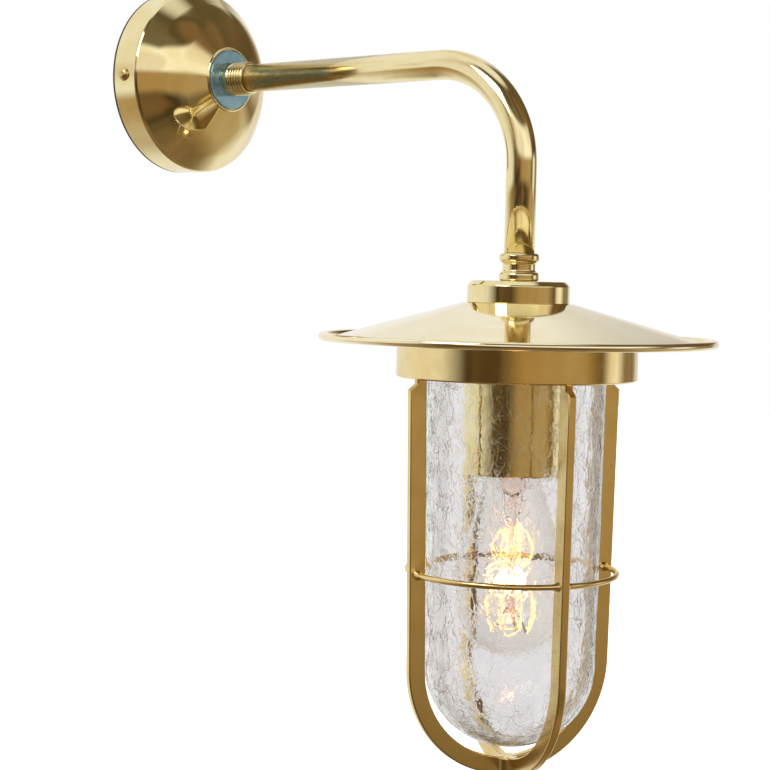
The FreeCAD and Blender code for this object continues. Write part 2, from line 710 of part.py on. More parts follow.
def holder_terminal_screws():
    solids = []
    for index in range(3):
        place = terminal_place(index, insert_z)
        shank = Part.makeCylinder(terminal_screw_r, insert_gauge - 1.0, place, Z_AXIS * -1)
        solids.append(shank.fuse(Part.makeCylinder(2 * terminal_screw_r, 1.6, place, Z_AXIS)))
    return solids


def holder_end_cores():
    """The flex's three cores, fanned out over the terminal screws."""
    solids = []
    for index in range(3):
        target = terminal_place(index, insert_z + 1.6)
        outward = Vector(target.x - reach, target.y, 0).normalize()
        start = Vector(reach, 0, flex_end_z) + outward * core_pitch_r
        turn = Vector(reach, 0, flex_end_z - 3.4) + outward * core_pitch_r
        above = Vector(target.x, target.y, turn.z - 1.2)
        solids.append(smooth_run(core_r, [start, turn, above], 1.6))
    return solids


def screw_shell():
    inner_r = bulb_cap_r + bulb_fit
    return ring(inner_r, inner_r + shell_wall, insert_z - insert_gauge, shell_bottom_z)


def centre_contact():
    """Sprung tongue under the insert, pressed on by the bulb."""
    top = insert_z - insert_gauge
    return ring(0, contact_r, top, contact_z)


def side_contact():
    """Strip from the insert's rim onto the outside of the screw shell."""
    start = bulb_cap_r + bulb_fit + shell_wall
    top = insert_z - insert_gauge
    return Part.makeBox(0.6, 4.0, 6.0, Vector(reach + start, -2.0, top - 6.0))


def holder_skirt():
    """Porcelain skirt around the screw shell, hung on the cap's lower edge."""
    shell_out = bulb_cap_r + bulb_fit + shell_wall
    bore = shell_out + 0.9
    return turned_on_lantern(
        (bore, contact_z, 0), (holder_r, contact_z, 0), (holder_r, contact_z - 4.0, 1.0),
        (holder_r - 1.6, contact_z - 6.0, 0.8), (holder_r - 1.6, holder_skirt_z, 1.0),
        (shell_out + 0.03, holder_skirt_z, 0.5), (shell_out + 0.03, shell_bottom_z + 1.0, 0),
        (bore, shell_bottom_z + 1.0, 0))


# ---- bulb ----------------------------------------------------------------------------------------------
cap_start = contact_z - bulb_insulator
cap_end = cap_start - bulb_cap_height


def bulb_contact():
    return turned_on_lantern((0, contact_z, 0), (contact_r, contact_z, 0.8),
                             (contact_r, contact_z - 1.5, 0), (0, contact_z - 1.5, 0))


def bulb_insulator_cone():
    top = contact_z - 1.5
    return turned_on_lantern((0, top, 0), (contact_r + 0.5, top, 0), (bulb_cap_r - 2.5, cap_start, 0),
                             (0, cap_start, 0))


def bulb_cap():
    """Screw cap: the turns of its rolled thread stand as rounded ribs."""
    root_r = bulb_cap_r - bulb_thread_depth
    pitch = bulb_thread_pitch
    corners = [(root_r - 1.0, cap_start, 0), (root_r, cap_start, 0.5)]
    for turn in range(bulb_thread_turns):
        start = cap_start - 1.2 - turn * pitch
        corners += [(root_r, start, 0), (bulb_cap_r, start - pitch / 2, 1.0), (root_r, start - pitch, 0)]
    corners += [(root_r, cap_end + 0.8, 0), (bulb_cap_r - 0.3, cap_end + 0.8, 0.2),
                (bulb_cap_r - 0.3, cap_end, 0), (root_r - bulb_cap_sheet, cap_end, 0),
                (root_r - bulb_cap_sheet, cap_start - bulb_cap_sheet, 0),
                (root_r - 1.0, cap_start - bulb_cap_sheet, 0)]
    return turned_on_lantern(*corners)


def bulb_outline(inset):
    """Teardrop envelope, as radius and height from the cap to the tip, moved in by a wall."""
    widest = bulb_widest_z
    tip = bulb_tip_z + inset
    widest_r = bulb_r - inset
    neck_r = bulb_neck_r - inset
    neck_z = cap_end + 3.0
    shoulder_z = (cap_end + bulb_widest_z) / 2
    shoulder_r = neck_r + (widest_r - neck_r) * 0.62
    points = [Vector(reach + neck_r, 0, neck_z), Vector(reach + neck_r + 0.4, 0, cap_end - 8.0),
              Vector(reach + shoulder_r, 0, shoulder_z), Vector(reach + widest_r, 0, widest)]
    side = Part.BSplineCurve()
    side.interpolate(points, InitialTangent=Vector(0, 0, -1), FinalTangent=Vector(0, 0, -1))
    rise = widest - tip
    round_r = (widest_r ** 2 + rise ** 2) / (2 * rise)
    angle = math.asin(min(1.0, widest_r / round_r)) / 2
    if round_r < widest_r:
        round_r = widest_r
    middle = Vector(reach + round_r * math.sin(angle), 0, tip + round_r * (1 - math.cos(angle)))
    bottom = Part.Arc(points[-1], middle, Vector(reach, 0, tip))
    return points[0], side, bottom


def bulb_glass():
    """Clear teardrop envelope, its neck cemented into the cap."""
    solids = []
    for inset in (0.0, bulb_wall):
        mouth, side, bottom = bulb_outline(inset)
        tip = bottom.EndPoint
        axis_top = Vector(reach, 0, mouth.z)
        wire = Part.Wire([side.toShape(), bottom.toShape(), Part.LineSegment(tip, axis_top).toShape(),
                          Part.LineSegment(axis_top, mouth).toShape()])
        solids.append(Part.Face(wire).revolve(Vector(reach, 0, 0), Z_AXIS, 360))
    return solids[0].cut(solids[1])


def bulb_stem():
    """Glass flare, pinch and centre rod that carry the filament's supports."""
    mouth_z = cap_end + 3.0
    flare_r = bulb_neck_r - bulb_wall - wire_gap
    pinch_z = cap_end - stem_length
    return turned_on_lantern(
        (0, mouth_z, 0), (flare_r, mouth_z, 0), (flare_r, mouth_z - 2.0, 1.0), (stem_r, cap_end - 6.0, 3.0),
        (stem_r, pinch_z + 6.0, 3.0), (stem_rod_r, pinch_z, 2.0), (stem_rod_r, rod_end_z, 1.0),
        (0, rod_end_z, 0))


def cage_point(index, radius, z):
    angle = 2 * math.pi * index / filament_legs
    return Vector(reach + radius * math.cos(angle), radius * math.sin(angle), z)


def filament():
    """Squirrel-cage filament: one wire up and down around the rod."""
    points = []
    for index in range(filament_legs):
        low_first = index % 2 == 0
        heights = (filament_low_z, filament_top_z) if low_first else (filament_top_z, filament_low_z)
        points += [cage_point(index, filament_cage_r, z) for z in heights]
    return smooth_run(filament_r, points, filament_bend_r)


def filament_supports():
    """Hooks out of the rod's two ends that hold the filament's bends."""
    solids = []
    root_r = stem_rod_r + support_r + wire_gap
    reach_out = filament_cage_r - filament_r - support_r - wire_gap
    for index in range(filament_legs):
        top = cage_point(index, root_r, filament_top_z + 1.5)
        solids.append(rod(support_r, top, cage_point(index, reach_out, filament_top_z + 0.5)))
        low = cage_point(index, root_r, rod_end_z + 2.0)
        solids.append(rod(support_r, low, cage_point(index, reach_out, filament_low_z + 1.0)))
    return solids


# ---- write each piece to its own file ------------------------------------------------------------------
PIECES = {
    "wall_gasket": wall_gasket, "mounting_plate": mounting_plate, "wall_rose": wall_rose,
    "rose_screws": rose_screws, "terminal_block": terminal_block, "terminal_block_screws": terminal_block_screws,
    "earth_screw": earth_screw, "earth_washer": earth_washer, "rose_seal_washer": rose_seal_washer,
    "back_washer": back_washer, "back_nut": back_nut, "rose_coupling": rose_coupling,
    "arm_tube": arm_tube, "arm_flex": arm_flex, "rose_end_cores": rose_end_cores,
    "lower_coupling": lower_coupling, "hollow_nipple": hollow_nipple, "top_cap": top_cap,
    "cap_spacer": cap_spacer, "visor": visor, "visor_rim_wire": visor_rim_wire, "visor_washer": visor_washer,
    "gallery": gallery, "glass_gasket": glass_gasket_ring, "glass_dome": glass_dome, "guard": guard,
    "lampholder_cover": lampholder_cover, "clamp_washer": clamp_washer, "clamp_nut": clamp_nut,
    "holder_cap": holder_cap, "holder_insert": holder_insert, "holder_terminal_screws": holder_terminal_screws,
    "holder_end_cores": holder_end_cores, "screw_shell": screw_shell, "centre_contact": centre_contact,
    "side_contact": side_contact, "holder_skirt": holder_skirt, "bulb_contact": bulb_contact,
    "bulb_insulator": bulb_insulator_cone, "bulb_cap": bulb_cap, "bulb_glass": bulb_glass,
    "bulb_stem": bulb_stem, "filament": filament, "filament_supports": filament_supports,
}


def main():
    os.makedirs("parts", exist_ok=True)
    for name, make in PIECES.items():
        made = make()
        shape = Part.makeCompound(made) if isinstance(made, list) else made
        shape.exportStep(os.path.join("parts", name + ".step"))
        print(f"{name}: {len(shape.Solids)} solid(s), {shape.Volume:.0f} mm3, valid {shape.isValid()}")


main()
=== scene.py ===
# %% [markdown]
# # A ship's wall lantern in polished brass
# The lantern hangs from a swan-neck arm on a domed rose. Its sizes, joints and hidden pieces come from a
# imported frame. This file gives every piece that shows its finished shape and its material. Each cell builds
# one thing: first a few words on what it is on the real lantern, then the short code that makes it.

# %% Load the frame
import json
import math

import bmesh
import bpy
from mathutils import Matrix, Vector, noise


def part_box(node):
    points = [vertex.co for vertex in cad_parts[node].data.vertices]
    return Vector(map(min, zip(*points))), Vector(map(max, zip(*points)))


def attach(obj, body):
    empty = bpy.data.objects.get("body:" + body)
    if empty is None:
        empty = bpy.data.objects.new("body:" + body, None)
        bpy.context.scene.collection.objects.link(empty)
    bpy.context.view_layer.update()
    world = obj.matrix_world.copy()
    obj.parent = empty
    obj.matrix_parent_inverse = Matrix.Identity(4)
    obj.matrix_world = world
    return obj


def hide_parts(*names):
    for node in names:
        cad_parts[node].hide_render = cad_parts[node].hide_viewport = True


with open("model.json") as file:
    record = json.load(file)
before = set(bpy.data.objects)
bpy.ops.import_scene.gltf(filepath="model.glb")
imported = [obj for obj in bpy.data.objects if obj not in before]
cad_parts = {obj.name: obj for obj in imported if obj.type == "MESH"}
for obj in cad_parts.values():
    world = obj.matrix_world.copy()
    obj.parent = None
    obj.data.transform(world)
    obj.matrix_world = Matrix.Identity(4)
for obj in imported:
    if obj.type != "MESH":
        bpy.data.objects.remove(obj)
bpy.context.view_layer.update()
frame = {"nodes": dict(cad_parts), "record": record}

MM = 0.001

# %% [markdown]
# ## Where things are
# A lathe piece needs only its axis and its outline. The lantern's axis is the middle of the visor, and the
# arm's straight run lies on the row's X axis, so both axes are read from the frame and not typed in.

# %% Read the two axes and the main levels


def span(node, axis):
    """Lowest and highest place of a CAD node along one row axis, in metres."""
    low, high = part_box(node)
    return low[axis], high[axis]


X, Y, Z = 0, 1, 2
lantern_x = sum(span("visor", X)) / 2
cap_bottom, cap_top = span("top_cap", Z)
spool_bottom, spool_top = span("lower_coupling", Z)
gallery_bottom, gallery_hub_top = span("gallery", Z)
guard_bottom, collar_top = span("guard", Z)
glass_bottom, flange_top = span("glass_dome", Z)
can_bottom, gallery_under = span("lampholder_cover", Z)
bulb_tip, bulb_neck = span("bulb_glass", Z)
rose_back = span("wall_rose", X)[0]
print(f"lantern axis at x = {lantern_x:.4f} m, top {cap_top:.4f} m, glass bottom {glass_bottom:.4f} m")

# %% [markdown]
# ## Turning on the lathe
# Most of this lantern is spun or turned brass, so most pieces are one outline turned about an axis. The
# outline starts as a few vertices joined by edges. A vertex bevel rounds each corner by its own radius, as
# a tool's nose does, and `spin` turns the wire into a surface. Rounding the wire first keeps every round
# exactly circular.

# %% The lathe
FINE = 160


def wire(bm, corners, plane=(X, Z)):
    """A closed wire through corners (radius, height, rounding) in millimetres, beveled to arcs."""
    across, along = plane
    verts = []
    for radius, height, _ in corners:
        place = Vector((0, 0, 0))
        place[across] = radius * MM
        place[along] = height * MM
        verts.append(bm.verts.new(place))
    for start, end in zip(verts, verts[1:] + verts[:1]):
        bm.edges.new((start, end))
    places = [vert.co.copy() for vert in verts]
    for index, vert in enumerate(verts):
        rounding = corners[index][2] * MM
        if rounding == 0:
            continue
        before = (places[index - 1] - places[index]).normalized()
        after = (places[(index + 1) % len(places)] - places[index]).normalized()
        half_angle = before.angle(after) / 2
        arc = math.pi - 2 * half_angle
        segments = max(3, min(28, round(arc * math.sqrt(rounding / MM) * 4)))
        bmesh.ops.bevel(bm, geom=[vert], offset=rounding / math.tan(half_angle), offset_type="OFFSET",
                        affect="VERTICES", segments=segments, profile=0.5, material=-1)
    bmesh.ops.remove_doubles(bm, verts=bm.verts[:], dist=1e-7)


def turn(bm, steps=FINE):
    """Spin everything in the bmesh once about Z, close the seam and the poles, and face it outwards."""
    bmesh.ops.spin(bm, geom=bm.verts[:] + bm.edges[:], cent=(0, 0, 0), axis=(0, 0, 1), dvec=(0, 0, 0),
                   angle=2 * math.pi, steps=steps, use_merge=True, use_normal_flip=False, use_duplicate=False)
    bmesh.ops.remove_doubles(bm, verts=bm.verts[:], dist=1e-6)
    bmesh.ops.recalc_face_normals(bm, faces=bm.faces[:])


def pull(bm, edges, change):
    """Extrude edges, move each new vertex by change(place), and give back the new edges at the far end."""
    made = bmesh.ops.extrude_edge_only(bm, edges=edges)["geom"]
    verts = {item for item in made if isinstance(item, bmesh.types.BMVert)}
    for vert in verts:
        vert.co += change(vert.co)
    return [item for item in made if isinstance(item, bmesh.types.BMEdge) and verts.issuperset(item.verts)]


TO_LANTERN = Matrix.Translation((lantern_x, 0, 0))
TO_ARM = Matrix.Rotation(math.pi / 2, 4, "Y")


def piece(name, bm, body, node, material, place=None, sharp=38):
    """Put a bmesh in the scene as a finished piece that rides on a body and stands for a CAD node."""
    if place is not None:
        bmesh.ops.transform(bm, matrix=place, verts=bm.verts[:])
    mesh = bpy.data.meshes.new(name)
    bm.to_mesh(mesh)
    bm.free()
    mesh.shade_smooth()
    mesh.set_sharp_from_angle(angle=math.radians(sharp))
    mesh.materials.append(material)
    made = bpy.data.objects.new(name, mesh)
    bpy.context.scene.collection.objects.link(made)
    weighted = made.modifiers.new("flat faces stay flat", "WEIGHTED_NORMAL")
    weighted.keep_sharp = True
    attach(made, body)
    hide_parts(node)
    print(f"{name}: {len(mesh.polygons)} faces, rides on {body}")
    return made


def turned(name, corners, body, node, material, place=TO_LANTERN, steps=FINE):
    """One closed outline turned into a solid piece."""
    bm = bmesh.new()
    wire(bm, corners)
    turn(bm, steps)
    return piece(name, bm, body, node, material, place)


# %% [markdown]
# ## Shader maths in plain Python
# A finish is a small formula: noise times a strength, plus a base value. `Signal` wraps a shader socket so
# that the formula can be written as one. `Finish` owns the node tree and makes every node through one method.

# %% Signal and Finish


class Signal:
    """A shader socket that adds, subtracts, multiplies and divides like a number."""

    def __init__(self, finish, socket):
        self.finish = finish
        self.socket = socket

    def math(self, operation, first, second=None):
        values = [first] if second is None else [first, second]
        return self.finish.add("ShaderNodeMath", {"operation": operation}, dict(enumerate(values)))

    def __add__(self, other):
        return self.math("ADD", self, other)

    def __sub__(self, other):
        return self.math("SUBTRACT", self, other)

    def __rsub__(self, other):
        return self.math("SUBTRACT", other, self)

    def __mul__(self, other):
        return self.math("MULTIPLY", self, other)

    def __truediv__(self, other):
        return self.math("DIVIDE", self, other)

    def smaller(self, other):
        return self.math("MINIMUM", self, other)

    def larger(self, other):
        return self.math("MAXIMUM", self, other)


class Finish:
    """The node tree of a material or of the world, and the single method that adds nodes to it."""

    def __init__(self, owner):
        owner.use_nodes = True
        self.owner = owner
        self.tree = owner.node_tree
        self.tree.nodes.clear()

    def add(self, kind, settings=None, inputs=None, output=0):
        """Add a node: its settings, then values or links for its sockets; gives back one output, if any."""
        node = self.tree.nodes.new(kind)
        for key, value in (settings or {}).items():
            if key == "stops":
                ramp = node.color_ramp
                while len(ramp.elements) < len(value):
                    ramp.elements.new(0.5)
                for element, (position, shade) in zip(ramp.elements, value):
                    element.position = position
                    element.color = shade
            else:
                setattr(node, key, value)
        for key, value in (inputs or {}).items():
            if isinstance(value, Signal):
                self.tree.links.new(value.socket, node.inputs[key])
            else:
                node.inputs[key].default_value = value
        return None if output is None else Signal(self, node.outputs[output])

    def place(self, scale=(1, 1, 1), move=(0, 0, 0)):
        """Object coordinates, moved and scaled."""
        spot = self.add("ShaderNodeTexCoord", output="Object")
        return self.add("ShaderNodeMapping", None, {"Vector": spot, "Location": move, "Scale": scale})

    def split(self, vector):
        """The three parts of a vector."""
        return [self.add("ShaderNodeSeparateXYZ", None, {0: vector}, output=index) for index in range(3)]

    def noise(self, size, where, detail=3.0, roughness=0.5, distortion=0.0):
        """Noise whose lumps are about `size` millimetres across."""
        return self.add("ShaderNodeTexNoise", None, {
            "Vector": where, "Scale": 1 / (size * MM), "Detail": detail, "Roughness": roughness,
            "Distortion": distortion})

    def between(self, value, low, high, to_low=0.0, to_high=1.0):
        """Map a stretch of a signal onto another, clamped and eased at both ends."""
        return self.add("ShaderNodeMapRange", {"interpolation_type": "SMOOTHSTEP"},
                        {0: value, 1: low, 2: high, 3: to_low, 4: to_high})

    def mix(self, factor, first, second):
        """Mix two colours."""
        return self.add("ShaderNodeMix", {"data_type": "RGBA"}, {0: factor, 6: first, 7: second}, output=2)

    def bump(self, height, strength, distance):
        return self.add("ShaderNodeBump", None, {
            "Height": height, "Strength": strength, "Distance": distance * MM})

    def surface(self, shader, output="ShaderNodeOutputMaterial"):
        """Link a shader to the tree's output, and give back what the tree belongs to."""
        self.add(output, None, {"Surface": shader}, output=None)
        return self.owner

    def principled(self, inputs):
        return self.add("ShaderNodeBsdfPrincipled", None, inputs)


def new_finish(name):
    return Finish(bpy.data.materials.new(name))


def rgb(red, green, blue):
    return (red, green, blue, 1.0)


print("shader helpers ready")

# %% [markdown]
# ## Polished brass
# Real polished brass is a mirror with a straw tint. What makes it read as metal and not as yellow plastic
# is what a cloth leaves: fine rings from the buffing wheel, a haze that comes and goes, and a few pinprick
# marks. The rings follow the lathe, so they are noise on the distance from the turning axis and the height
# along it.

# %% Brass finishes


def ring_lines(finish, axis_place, along, pitch):
    """Noise that is constant around a turning axis: the fine rings that a wheel or a lathe leaves."""
    parts = finish.split(finish.place(move=axis_place))
    others = [part for index, part in enumerate(parts) if index != along]
    squares = others[0] * others[0] + others[1] * others[1]
    radius = finish.add("ShaderNodeMath", {"operation": "SQRT"}, {0: squares})
    ring = finish.add("ShaderNodeCombineXYZ", None, {0: radius, 1: parts[along], 2: 0.0})
    return finish.noise(pitch, ring, detail=2.0)


def brass(name, pale, deep, sheen, haze, axis_place=(0, 0, 0), along=Z, ring_strength=0.02, ring_pitch=0.35,
          handled=0.0):
    """Polished brass: tint between pale and deep, roughness from sheen to sheen + haze, and duller by
    `handled` towards the wall, where hands steady the arm."""
    finish = new_finish(name)
    plain = finish.place()
    cloud = finish.between(finish.noise(26, plain, detail=4.0, roughness=0.6), 0.35, 0.7)
    smear = finish.between(finish.noise(7, plain, detail=5.0, roughness=0.65, distortion=0.6), 0.45, 0.75)
    pin = finish.between(finish.noise(1.1, plain, detail=1.0), 0.74, 0.8)
    rings = ring_lines(finish, axis_place, along, ring_pitch)
    tint = finish.mix(cloud, pale, deep)
    tint = finish.mix(pin * 0.35, tint, rgb(deep[0] * 0.45, deep[1] * 0.4, deep[2] * 0.35))
    near_wall = finish.between(finish.split(plain)[X], 0.08, 0.20, handled, 0.0)
    rough = cloud * (haze * 0.5) + smear * (haze * 0.5) + pin * 0.12 + near_wall + sheen
    height = rings + smear * 0.4
    shader = finish.principled({
        "Base Color": tint, "Metallic": 1.0, "Roughness": rough,
        "Normal": finish.bump(height, ring_strength, 0.02)})
    return finish.surface(shader)


STRAW = rgb(0.91, 0.80, 0.48)
DEEP_STRAW = rgb(0.86, 0.72, 0.37)
lantern_axis = (-lantern_x, 0, 0)
polished = brass("polished_brass", STRAW, DEEP_STRAW, 0.045, 0.07, lantern_axis)
polished_rose = brass("polished_brass_rose", STRAW, DEEP_STRAW, 0.05, 0.08, along=X, ring_strength=0.035)
# Same brass, tinted paler: painted sheen for the bright room that the visor's cone mirrors at a grazing
# angle.
visor_brass_painted_sheen = brass("polished_brass_visor_painted_sheen", rgb(0.95, 0.87, 0.62), rgb(0.91, 0.80, 0.51), 0.06, 0.06,
                       lantern_axis)
polished_arm = brass("polished_brass_arm", rgb(0.91, 0.80, 0.49), rgb(0.88, 0.75, 0.41), 0.075, 0.07,
                     ring_strength=0.0, handled=0.15)
turned_brass = brass("turned_brass", rgb(0.88, 0.72, 0.38), rgb(0.80, 0.62, 0.28), 0.10, 0.10, lantern_axis,
                     ring_strength=0.10, ring_pitch=0.3)
print("brass finishes:", polished.name, polished_rose.name, polished_arm.name, turned_brass.name)

# %% [markdown]
# ## Cast brass
# The guard is cast in sand, filed along its bars and only brushed, so it is satin: deeper in colour,
# rougher, with file marks along each bar and a faint orange-peel left from the mould.

# %% Cast brass


def cast_brass():
    finish = new_finish("cast_brass")
    plain = finish.place()
    strokes = finish.noise(0.5, finish.place(scale=(1, 1, 0.06)), detail=3.0)
    peel = finish.noise(1.6, plain, detail=3.0)
    cloud = finish.between(finish.noise(18, plain, detail=4.0, roughness=0.6), 0.35, 0.68)
    pit = finish.between(finish.noise(0.8, plain, detail=2.0), 0.72, 0.78)
    tint = finish.mix(cloud, rgb(0.87, 0.69, 0.34), rgb(0.82, 0.63, 0.28))
    tint = finish.mix(pit * 0.5, tint, rgb(0.30, 0.19, 0.08))
    rough = strokes * 0.12 + cloud * 0.04 + pit * 0.12 + 0.13
    shader = finish.principled({
        "Base Color": tint, "Metallic": 1.0, "Roughness": rough,
        "Normal": finish.bump(strokes * 0.6 + peel * 0.8 - pit, 0.22, 0.05)})
    return finish.surface(shader)


cast = cast_brass()
print("cast brass:", cast.name)

# %% [markdown]
# ## Crackle glass
# Crackle glass is dipped hot into water and then fired again: cracks run all over it, mostly upright here,
# and heal into a net of fine ridges. Each cell between cracks is slightly tilted, which breaks what is seen
# through it into patches. Cells come from Voronoi cells stretched upright, and their edges from the
# distance to the edge.

# %% Crackle glass


def crackle_glass():
    finish = new_finish("crackle_glass")
    wobble = finish.noise(9, finish.place(), detail=3.0, roughness=0.6)
    spread = finish.add("ShaderNodeTexNoise", None, {"Vector": finish.place(move=(3, 5, 7)), "Scale": 110.0,
                                                     "Detail": 2.0}, output="Color")
    where = finish.add("ShaderNodeVectorMath", {"operation": "MULTIPLY_ADD"},
                       {0: spread, 1: (0.012, 0.012, 0.016), 2: finish.place(scale=(1, 1, 0.42))})
    broad = {"Vector": where, "Scale": 95.0}
    dense = {"Vector": where, "Scale": 260.0}
    edges = finish.add("ShaderNodeTexVoronoi", {"feature": "DISTANCE_TO_EDGE"}, broad)
    fine = finish.add("ShaderNodeTexVoronoi", {"feature": "DISTANCE_TO_EDGE"}, dense)
    cells = finish.add("ShaderNodeTexVoronoi", {"feature": "F1"}, broad, output="Color")
    tilt = finish.split(cells)[X]
    crack = finish.between(edges, 0.0, 0.022, 1.0, 0.0) * finish.between(wobble, 0.40, 0.60, 0.25, 1.0)
    small_crack = finish.between(fine, 0.0, 0.04, 1.0, 0.0) * finish.between(wobble, 0.52, 0.62)
    cracks = crack.larger(small_crack * 0.5)
    height = cracks * 0.9 + tilt * 0.14 + wobble * 1.6
    normal = finish.bump(height, 0.34, 0.45)
    clear = finish.add("ShaderNodeBsdfPrincipled", None, {
        "Base Color": rgb(0.985, 0.99, 0.995), "Roughness": cracks * 0.25 + 0.015, "IOR": 1.47,
        "Transmission Weight": 1.0, "Normal": normal})
    frost = finish.add("ShaderNodeBsdfPrincipled", None, {
        "Base Color": rgb(0.95, 0.95, 0.97), "Roughness": 0.22, "IOR": 1.47, "Transmission Weight": 0.72,
        "Normal": normal})
    return finish.surface(finish.add("ShaderNodeMixShader", None, {0: cracks * 0.5, 1: clear, 2: frost}))


crackle = crackle_glass()
print("crackle glass:", crackle.name)

# %% [markdown]
# ## Clear glass, glow and small stuff
# The bulb is thin clear glass; the stem's peach tint is painted glow from the filament. The filament is so
# hot that it only needs light of its own.
# The seals, porcelain, steel and wiring hardly show, but each has its own small irregularity.

# %% Small finishes


def clear_glass(name, tint, roughness, streak):
    finish = new_finish(name)
    ripple = finish.noise(streak, finish.place(scale=(1, 1, 0.3)), detail=2.0)
    shader = finish.principled({
        "Base Color": tint, "Roughness": finish.between(ripple, 0.3, 0.8, roughness, roughness + 0.03),
        "IOR": 1.45, "Transmission Weight": 1.0, "Normal": finish.bump(ripple, 0.08, 0.2)})
    return finish.surface(shader)


def glowing(name, edge, core, strength):
    finish = new_finish(name)
    unevenness = finish.between(finish.noise(5, finish.place()), 0.3, 0.7)
    shader = finish.principled({
        "Base Color": rgb(0.2, 0.12, 0.05), "Roughness": 0.6,
        "Emission Color": finish.mix(unevenness, edge, core), "Emission Strength": strength})
    return finish.surface(shader)


def speckled(name, first, second, roughness, grain, metallic=0.0, coat=0.0, bump=0.15):
    finish = new_finish(name)
    grains = finish.noise(grain, finish.place(), detail=4.0, roughness=0.6)
    broad = finish.between(finish.noise(grain * 9, finish.place(), detail=3.0), 0.35, 0.65)
    shader = finish.principled({
        "Base Color": finish.mix(broad, first, second), "Metallic": metallic,
        "Roughness": finish.between(grains, 0.3, 0.7, roughness, roughness + 0.12), "Coat Weight": coat,
        "Normal": finish.bump(grains, bump, 0.05)})
    return finish.surface(shader)


bulb_clear = clear_glass("bulb_clear_glass", rgb(1.0, 0.99, 0.97), 0.0, 14)
# The stem's peach tint is painted glow, standing in for the filament's warm light on the glass.
stem_glass_painted_glow = clear_glass("stem_glass", rgb(1.0, 0.82, 0.73), 0.05, 4)
hot = glowing("carbon_filament", rgb(1.0, 0.62, 0.16), rgb(1.0, 0.72, 0.30), 2.4)
finishes = {
    "plain_brass": speckled("plain_brass", rgb(0.80, 0.64, 0.32), rgb(0.70, 0.53, 0.24), 0.22, 0.7,
                            metallic=1.0),
    "zinc_steel": speckled("zinc_steel", rgb(0.66, 0.67, 0.69), rgb(0.55, 0.56, 0.57), 0.30, 1.2,
                           metallic=1.0),
    "tinned_contact": speckled("tinned_contact", rgb(0.80, 0.79, 0.76), rgb(0.66, 0.65, 0.62), 0.25, 0.6,
                               metallic=1.0),
    "porcelain": speckled("porcelain", rgb(0.88, 0.86, 0.80), rgb(0.82, 0.79, 0.72), 0.12, 2.5, coat=0.6,
                          bump=0.05),
    "black_rubber": speckled("black_rubber", rgb(0.018, 0.017, 0.016), rgb(0.035, 0.033, 0.030), 0.55, 0.5),
    "blue_grey_seal": speckled("blue_grey_seal", rgb(0.16, 0.30, 0.37), rgb(0.22, 0.37, 0.44), 0.14, 0.8,
                               metallic=0.6, coat=0.6),
    "fibre_washer": speckled("fibre_washer", rgb(0.28, 0.08, 0.05), rgb(0.20, 0.05, 0.03), 0.6, 0.4),
    "flex_sheath": speckled("flex_sheath", rgb(0.80, 0.78, 0.72), rgb(0.72, 0.70, 0.64), 0.45, 0.8),
    "core_insulation": speckled("core_insulation", rgb(0.25, 0.11, 0.05), rgb(0.18, 0.08, 0.04), 0.35, 0.6),
    "black_glass": speckled("black_glass", rgb(0.012, 0.012, 0.012), rgb(0.02, 0.02, 0.02), 0.08, 1.5,
                            coat=0.5),
    "support_wire": speckled("support_wire", rgb(0.42, 0.34, 0.28), rgb(0.33, 0.25, 0.20), 0.3, 0.3,
                             metallic=1.0),
    "polished_brass": polished, "turned_brass": turned_brass, "cast_brass": cast, "crackle_glass": crackle,
    "bulb_clear_glass": bulb_clear, "stem_glass": stem_glass_painted_glow, "carbon_filament": hot,
}
for part in frame["record"]["subparts"]:
    materials = frame["nodes"][part["node"]].data.materials
    materials.clear()
    materials.append(finishes[part["material_slot"]])

# %% [markdown]
# ## Rose
# The rose is one disc of sheet brass, pushed over a former on a spinning lathe. Its rim is straight, its
# shoulder small, and its face swells gently before it flattens into the seat for the arm. The outline is
# the outer skin, then the inner skin 1.2 mm behind it.

# %% Turn the rose
rose_edge_r = 54.0
rose_wall = 1.2
rose_rim = 19.0
rose_height = 43.0
rim_round = 3.5
seat_r = 18.0
swell_r = (rose_edge_r - rim_round) * 0.78
swell_x = rose_rim + (rose_height - rose_rim) * 0.6
swell_round = 48.6
bolt_r = 5.25
turned("rose", [
    (rose_edge_r - rose_wall, rose_back / MM, 0), (rose_edge_r, rose_back / MM, 0.3),
    (rose_edge_r, rose_rim, rim_round), (swell_r, swell_x, swell_round),
    (seat_r + 0.9, rose_height - 0.3, 0.8), (seat_r + 0.5, rose_height + 0.5, 0.3),
    (seat_r - 0.2, rose_height + 0.5, 0.3), (seat_r - 0.4, rose_height, 0.15), (bolt_r, rose_height, 0),
    (bolt_r, rose_height - rose_wall, 0), (seat_r - rose_wall, rose_height - rose_wall, 2.8),
    (swell_r - rose_wall, swell_x - rose_wall, swell_round),
    (rose_edge_r - rose_wall, rose_rim - rose_wall, rim_round - rose_wall)],
    "bracket", "wall_rose", polished_rose, TO_ARM, steps=220)

# %% [markdown]
# ## Seal, couplings and arm
# A blue-grey washer seals the rose. The ribbed coupling is turned from bar: one plain collar, fine ribs
# that a hand can grip, and an end collar. The arm is a drawn tube bent on a former, so its section is one
# circle that runs straight, swings a quarter turn about the bend's centre, and runs straight again.

